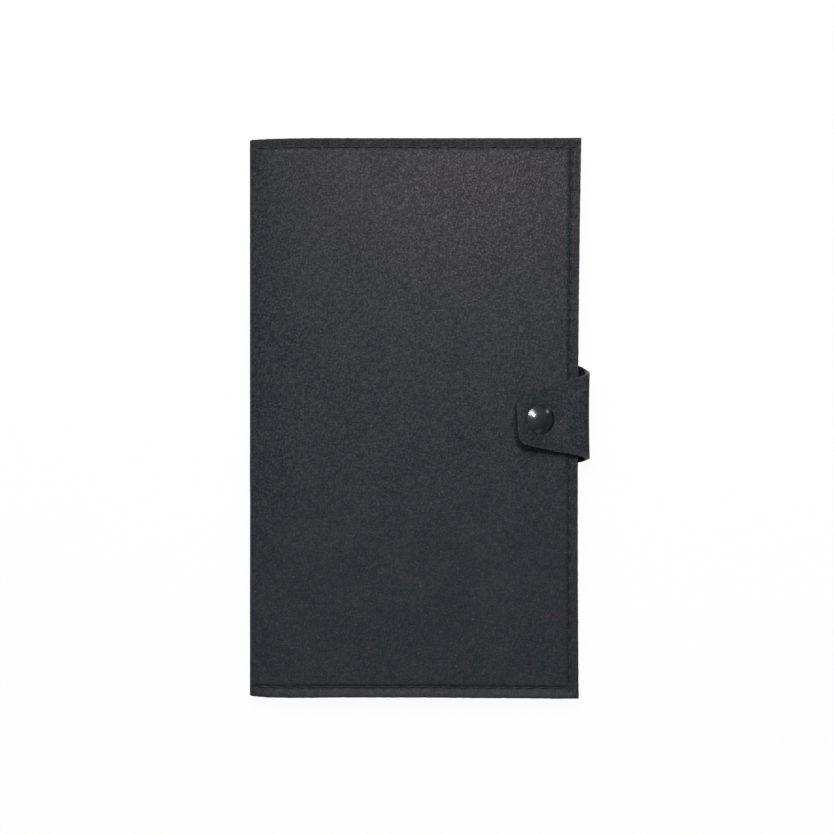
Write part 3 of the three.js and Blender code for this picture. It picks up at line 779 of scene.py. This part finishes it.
# Lines are lists of (points, up directions) in millimetres
def sewRows(name, lines, settings):
    points, edges, ups = [], [], []
    for line, up in lines:
        first = len(points)
        points.extend((line * mm).tolist())
        ups.extend(up.tolist())
        edges.extend((first + i, first + i + 1) for i in range(len(line) - 1))
    path = bpy.data.meshes.new(name + "Path")
    path.from_pydata(points, edges, [])
    addAttribute(path, "up", "FLOAT_VECTOR", "vector", np.array(ups))
    guide = linkObject(name + "Path", path)
    modifier = guide.modifiers.new("stitches", "NODES")
    modifier.node_group = stitchRow
    values = {"Pitch": settings["pitch"] * mm, "Stitch Length": settings["length"] * mm,
              "Thread Radius": settings["thread"] * mm, "Rise": settings["rise"] * mm,
              "Sink": settings["sink"] * mm, "Sway": settings["sway"], "Seed": settings["seed"],
              "Thread": seamThread}
    for item in stitchRow.interface.items_tree:
        if item.in_out == "INPUT" and item.name in values:
            modifier[item.identifier] = values[item.name]
    bpy.context.view_layer.update()
    evaluated = guide.evaluated_get(bpy.context.evaluated_depsgraph_get())
    mesh = bpy.data.meshes.new_from_object(evaluated)
    mesh.name = name
    piece = linkObject(name, mesh)
    bpy.data.objects.remove(guide)
    return piece


seamStitches = {
    "pitch": 5.2, "length": 4.7, "thread": 0.3, "rise": 0.16, "sink": 0.45, "sway": 0.05, "seed": 11,
    "lift": 0.12, "past": 0.4, "spineStop": 7.0, "endSteps": 260, "edgeSteps": 420,
}
innerStitches = {
    "pitch": 5.2, "length": 4.6, "thread": 0.26, "rise": 0.12, "sink": 0.4, "sway": 0.04, "seed": 5,
    "start": -44.5, "stop": 62.3, "end": 106.5, "edge": 61.0, "edgeStop": 107.8,
    "backHeight": 2.98, "frontHeight": 8.82, "rootLow": -12.6, "rootHigh": 15.6, "rootHeight": 5.32,
}
cardStitchLook = {
    "pitch": 3.2, "length": 2.7, "thread": 0.17, "rise": 0.1, "sink": 0.3, "sway": 0.05, "seed": 8,
    "height": 7.72,
}


# Rows on a cover's outer face: top, bottom and free edge, crossing a little at the corners
def coverRows(side):
    rows, past = [], seamStitches["past"]
    for y in (seamHigh, seamLow):
        run = np.linspace(seamStitches["spineStop"], seamRun + past, seamStitches["endSteps"])
        rows.append(coverLine(side, run, np.full_like(run, y)))
    y = np.linspace(seamLow - past, seamHigh + past, seamStitches["edgeSteps"])
    rows.append(coverLine(side, np.full_like(y, seamRun), y))
    return rows


def coverLine(side, run, y):
    nx, nz = np.interp(run, sectionRun, sectionNx), np.interp(run, sectionRun, sectionNz)
    up = np.stack([nx, np.zeros_like(nx), nz * side], -1)
    return coverPoint(side, run, y, False) + up * seamStitches["lift"], up


frontStitches = sewRows("frontStitches", coverRows(1), seamStitches)
bendRoundSpine(frontStitches, 1)
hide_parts("front_seam_thread")
backStitches = sewRows("backStitches", coverRows(-1), {**seamStitches, "rise": 0.2, "seed": 12})
bendRoundSpine(backStitches, -1)
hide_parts("back_seam_thread")


# Straight rows at one height, facing up or down
def flatRows(ends, height, facing):
    rows = []
    for (x0, y0), (x1, y1) in ends:
        count = max(2, int(math.hypot(x1 - x0, y1 - y0)))
        line = np.stack([np.linspace(x0, x1, count), np.linspace(y0, y1, count), np.full(count, height)], -1)
        rows.append((line, np.tile((0.0, 0.0, facing), (count, 1))))
    return rows


edge, stop = innerStitches["edge"], innerStitches["edgeStop"]
innerEnds = [((innerStitches["start"], y), (innerStitches["stop"], y))
             for y in (innerStitches["end"], -innerStitches["end"])]
innerEnds.append(((edge, -stop), (edge, stop)))
backInner = sewRows("backInnerStitches", flatRows(innerEnds, innerStitches["backHeight"], 1.0), innerStitches)
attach(backInner, "back_cover")
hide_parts("back_inner_thread")
frontInner = sewRows("frontInnerStitches", flatRows(innerEnds, innerStitches["frontHeight"], -1.0),
                     {**innerStitches, "seed": 6})
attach(frontInner, "front_cover")
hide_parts("front_inner_thread")
rootEnds = [((edge, innerStitches["rootLow"]), (edge, innerStitches["rootHigh"]))]
strapStitches = sewRows("strapStitches", flatRows(rootEnds, innerStitches["rootHeight"], 1.0),
                        {**innerStitches, "pitch": 4.0, "length": 3.5, "seed": 7})
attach(strapStitches, "back_cover")
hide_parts("strap_root_thread")


def cardEnds():
    ends = []
    half, inset = cardSlot["width"] / 2 - cardSlot["seam"], cardSlot["seam"]
    left, right = cardSlot["middle"] - half, cardSlot["middle"] + half
    for number in range(len(cardSlots)):
        low = (1 - number) * cardSlot["pitch"] - cardSlot["depth"] / 2 + inset
        high = low + cardSlot["depth"] - inset - cardSlot["rowStop"]
        ends += [((left, high), (left, low)), ((left, low), (right, low)), ((right, low), (right, high))]
    return ends


cardStitches = sewRows("cardStitches", flatRows(cardEnds(), cardStitchLook["height"], -1.0), cardStitchLook)
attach(cardStitches, "front_cover")
print("stitches sewn")


# Turned pieces of the snap: radius and height pairs up the outside, or round a closed ring
snap = {
    "segments": 72, "soften": 0.1, "sharp": 32.0,
    "socket": ((2.4, 0.8), (4.9, 0.8), (4.9, 1.9), (4.4, 2.5), (4.4, 3.8), (1.3, 3.8), (1.3, 3.2), (2.4, 3.2),
               (2.4, 1.9), (2.8, 1.9), (2.8, 0.95), (2.4, 0.95)),
    "stud": ((1.3, 0), (4.9, 0), (4.9, 0.5), (2.2, 0.75), (1.6, 1.1), (1.6, 1.6), (2.1, 2.2), (1.75, 2.75),
             (1.5, 2.9), (1.3, 2.9)),
    "rivet": ((0, -1.6), (3.8, -1.6), (3.8, -1.2), (1.0, -1.2), (1.0, 1.9), (0, 1.9)),
}
capShape = {
    "radius": 5.90, "dome": 5.74, "low": 5.0, "shoulder": 5.7, "rise": 1.95, "post": 1.0, "postLow": 4.2,
    "rim": 5.6, "lip": 0.2, "lipRise": 0.14, "bead": 0.24, "beadTurn": 0.7, "beadShares": (0.15, 0.8, 4),
    "domeLift": 0.06, "domeSteps": 26,
}


# Each corner of the profile is cut and rounded, apart from the ends of an open one
def softened(profile, radius, closed):
    points = [np.array(p, float) for p in profile]
    made = []
    for i, point in enumerate(points):
        if not closed and i in (0, len(points) - 1):
            made.append(point)
            continue
        into, out = point - points[i - 1], points[(i + 1) % len(points)] - point
        cut = min(radius, np.linalg.norm(into) * 0.4, np.linalg.norm(out) * 0.4)
        start, end = point - unit(into) * cut, point + unit(out) * cut
        for t in (0, 0.33, 0.67, 1):
            made.append((1 - t) ** 2 * start + 2 * t * (1 - t) * point + t * t * end)
    return made


def turnedPiece(name, profile, material, place, closed):
    points, rings, count = [], [], snap["segments"]
    turn = np.linspace(0, 2 * np.pi, count, endpoint=False)
    for radius, height in profile:
        first = len(points)
        if radius < 1e-6:
            points.append((0, 0, height))
            rings.append(np.full(count, first))
        else:
            points.extend(zip(radius * np.cos(turn), radius * np.sin(turn), np.full(count, height)))
            rings.append(first + np.arange(count))
    faces = []
    for low, high in zip(rings, rings[1:] + rings[:1] if closed else rings[1:]):
        for a, b, c, d in zip(low, np.roll(low, -1), np.roll(high, -1), high):
            face = [a] + [v for v, u in ((b, a), (c, b), (d, c)) if v != u]
            faces.append(tuple(face if face[-1] != face[0] else face[:-1]))
    return newPiece(name, place(np.array(points, float)), faces, material, sharp=snap["sharp"])


def leaned(points, tilt, lift):
    axis = np.array([math.sin(tilt), 0, math.cos(tilt)])
    across = np.array([math.cos(tilt), 0, -math.sin(tilt)])
    base = snapPlace["at"] + lift
    return base + points[:, :1] * across + points[:, 1:2] * np.array([0, 1.0, 0]) + points[:, 2:] * axis


def onSnap(points):
    return leaned(points, snapPlace["tilt"], np.zeros(3))


# The cap leans a little more than the strap's plane, turning about the middle of its rim
def onCap(points):
    rim, tilt = capShape["rim"], snapPlace["tilt"]
    middle = rim * np.array([math.sin(tilt), 0, math.cos(tilt)])
    return leaned(points - np.array([0, 0, rim]), snapPlace["capTilt"], middle + snapPlace["capShift"])


def capProfile():
    shape = capShape
    radius, dome, low, post = shape["radius"], shape["dome"], shape["low"], shape["post"]
    brow = shape["shoulder"] - shape["lip"]
    profile = [(0, shape["postLow"]), (post, shape["postLow"]), (post, low), (radius - shape["lip"], low),
               (radius, low + shape["lipRise"]), (radius, brow)]
    ball = (dome ** 2 + shape["rise"] ** 2) / (2 * shape["rise"])
    reach = math.asin(dome / ball)
    for t in np.linspace(*shape["beadShares"]) * math.pi / 2:
        across = dome + (radius - dome) * math.cos(t * shape["beadTurn"])
        profile.append((across, brow + shape["bead"] * math.sin(t)))
    for angle in reach * np.linspace(1, 0, shape["domeSteps"]):
        height = shape["shoulder"] + shape["domeLift"] + ball * (math.cos(angle) - math.cos(reach))
        profile.append((ball * math.sin(angle), height))
    return profile


def steelPiece(name, profile, closed):
    return turnedPiece(name, softened(profile, snap["soften"], closed), snapSteel, onSnap, closed)


snapCap = turnedPiece("snapCap", capProfile(), snapLacquer, onCap, False)
snapSocket = steelPiece("snapSocket", snap["socket"], True)
snapStud = steelPiece("snapStud", snap["stud"], True)
snapRivet = steelPiece("snapRivet", snap["rivet"], False)


# The spring: round wire bent into a split ring
springWire = {
    "ring": 2.2, "wire": 0.29, "height": 1.42, "slit": 40.0, "steps": 56, "sides": 10, "sharp": 50.0,
}


def makeSpring():
    sides, steps = springWire["sides"], springWire["steps"]
    half = math.radians(springWire["slit"] / 2)
    turn = np.linspace(half, 2 * np.pi - half, steps)
    ring = np.linspace(0, 2 * np.pi, sides, endpoint=False)
    radius = springWire["ring"] + springWire["wire"] * np.cos(ring)
    height = springWire["height"] + springWire["wire"] * np.sin(ring)
    points = np.stack([np.outer(np.cos(turn), radius), np.outer(np.sin(turn), radius),
                       np.tile(height, (steps, 1))], -1).reshape(-1, 3)
    last, faces = (steps - 1) * sides, []
    for i in range(0, last, sides):
        for j in range(sides):
            k = (j + 1) % sides
            faces.append((i + j, i + sides + j, i + sides + k, i + k))
    faces.append(tuple(range(sides)))
    faces.append(tuple(reversed(range(last, last + sides))))
    return newPiece("snapSpring", onSnap(points), faces, snapSteel, sharp=springWire["sharp"])


snapSpring = makeSpring()
for piece, body, node, slotName in ((snapCap, "strap_flap", "snap_cap", "snap_lacquer"),
                                    (snapSocket, "strap_flap", "snap_socket", "snap_steel"),
                                    (snapSpring, "strap_flap", "snap_spring", "snap_steel"),
                                    (snapStud, "front_cover", "snap_stud", "snap_steel"),
                                    (snapRivet, "front_cover", "snap_rivet", "snap_steel")):
    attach(piece, body)
    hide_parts(node)
print("snap made")


# Studio: camera straight above, main lamp beyond the top, a soft one overhead, a low one at the right
studio = {
    "camera": (1.2, 0.2, 592.0), "lens": 63.4, "sensor": 36.0, "clip": (0.02, 50),
    "worldLow": (0.088, 0.0915, 0.095, 1), "worldHigh": (0.352, 0.372, 0.389, 1),
    "worldUp": (-0.3, 0.6, 0.74), "worldRange": (-0.45, 0.9),
    "worldFront": (0.54, 0.55, 0.56, 1), "frontWay": (0.36, -0.9, 0.24), "frontRange": (0.9, 0.99),
}
lamps = (
    {"name": "keyLamp", "at": (-215.0, 840.0, 1340.0), "aim": (20, 20, 12), "size": (680.0, 620.0),
     "power": 13.8, "colour": (1.0, 0.985, 0.975)},
    {"name": "overLamp", "at": (62.0, 212.0, 610.0), "aim": (20, 20, 12), "size": (95.0, 95.0),
     "power": 1.32, "colour": (1.0, 0.98, 0.975)},
    {"name": "sideLamp", "at": (448.0, 216.0, 64.0), "aim": (30, 0, 12), "size": (70.0, 120.0),
     "power": 0.08, "colour": (1.0, 0.98, 0.97)},
)
# The floor curves up at its rim, in metres. Seen straight it is white, apart from a faint shadow.
# In a mirror only the table close by is
floorLook = {
    "inner": 0.4, "flat": 1.3, "end": 2.4, "wall": 0.8, "below": 0.0003, "around": 96, "rimSteps": 10,
    "keep": 0.05, "colour": (0.9, 0.9, 0.9, 1), "tableRange": (0.07, 0.15), "tableDim": (0.13, 0.13, 0.13, 1),
}


def addLamp(look):
    data = bpy.data.lights.new(look["name"], "AREA")
    data.shape, data.size, data.size_y = "RECTANGLE", look["size"][0] * mm, look["size"][1] * mm
    data.energy, data.color = look["power"], look["colour"]
    lamp = linkObject(look["name"], data)
    lamp.location = np.array(look["at"]) * mm
    toward = Vector(look["aim"]) - Vector(look["at"])
    lamp.rotation_euler = toward.to_track_quat("-Z", "Y").to_euler()


def floorMaterial():
    material, tree = newMaterial("paleFloor")
    ray = tree.nodes.new("ShaderNodeLightPath")
    straight = Wire(tree, ray.outputs["Is Camera Ray"])
    mirrored = Wire(tree, ray.outputs["Is Glossy Ray"]) + Wire(tree, ray.outputs["Is Transmission Ray"])
    seen = (straight + mirrored) * (1 - floorLook["keep"])
    place = wireNode(tree, "ShaderNodeTexCoord", {}, {}, "Object")
    reach = wireNode(tree, "ShaderNodeVectorMath", {"operation": "LENGTH"}, {0: place}, "Value")
    far = between(tree, reach, *floorLook["tableRange"]) * mirrored
    glow = mixColour(tree, far, (1, 1, 1, 1), floorLook["tableDim"])
    plain = wireNode(tree, "ShaderNodeBsdfDiffuse", {}, {"Color": floorLook["colour"]})
    white = wireNode(tree, "ShaderNodeEmission", {}, {"Color": glow, "Strength": 1.0})
    finishMaterial(tree, wireNode(tree, "ShaderNodeMixShader", {}, {0: seen, 1: plain, 2: white}))
    return material


def makeFloor():
    look, count = floorLook, floorLook["around"]
    turn = np.linspace(0, 2 * np.pi, count, endpoint=False)
    radii = [(look["inner"], 0.0), (look["flat"], 0.0)]
    for angle in np.linspace(0.1, 1, look["rimSteps"]) * math.pi / 2:
        radii.append((look["flat"] + (look["end"] - look["flat"]) * math.sin(angle),
                      look["wall"] * (1 - math.cos(angle))))
    points = [(0, 0, -look["below"])]
    for radius, height in radii:
        points.extend((radius * math.cos(a), radius * math.sin(a), height - look["below"]) for a in turn)
    faces = [(0, 1 + i, 1 + (i + 1) % count) for i in range(count)]
    for k in range(len(radii) - 1):
        low, high = 1 + k * count, 1 + (k + 1) * count
        faces += [(low + i, high + i, high + (i + 1) % count, low + (i + 1) % count) for i in range(count)]
    mesh = bpy.data.meshes.new("floor")
    mesh.from_pydata(points, [], faces)
    mesh.shade_smooth()
    mesh.materials.append(floorMaterial())
    floor = linkObject("floor", mesh)


makeFloor()
for look in lamps:
    addLamp(look)


# The room is lighter above and behind the top of the pouch, with a bright patch in front
def makeWorld():
    world = bpy.data.worlds.new("studioWorld")
    world.use_nodes = True
    tree = world.node_tree
    tree.nodes.clear()
    toward = wireNode(tree, "ShaderNodeTexCoord", {}, {}, "Generated")
    dot = {"operation": "DOT_PRODUCT"}
    lean = wireNode(tree, "ShaderNodeVectorMath", dot, {0: toward, 1: studio["worldUp"]}, "Value")
    front = wireNode(tree, "ShaderNodeVectorMath", dot, {0: toward, 1: studio["frontWay"]}, "Value")
    above = between(tree, lean, *studio["worldRange"])
    colour = mixColour(tree, above, studio["worldLow"], studio["worldHigh"])
    colour = mixColour(tree, between(tree, front, *studio["frontRange"]), colour, studio["worldFront"])
    glow = wireNode(tree, "ShaderNodeBackground", {}, {"Color": colour, "Strength": 1.0})
    wireNode(tree, "ShaderNodeOutputWorld", {}, {"Surface": glow})
    bpy.context.scene.world = world


makeWorld()
cameraData = bpy.data.cameras.new("camera")
cameraData.lens, cameraData.sensor_width = studio["lens"], studio["sensor"]
cameraData.clip_start, cameraData.clip_end = studio["clip"]
camera = linkObject("camera", cameraData)
camera.location = np.array(studio["camera"]) * mm
bpy.context.scene.camera = camera
bpy.context.scene.view_settings.view_transform = "Standard"
print("studio set")
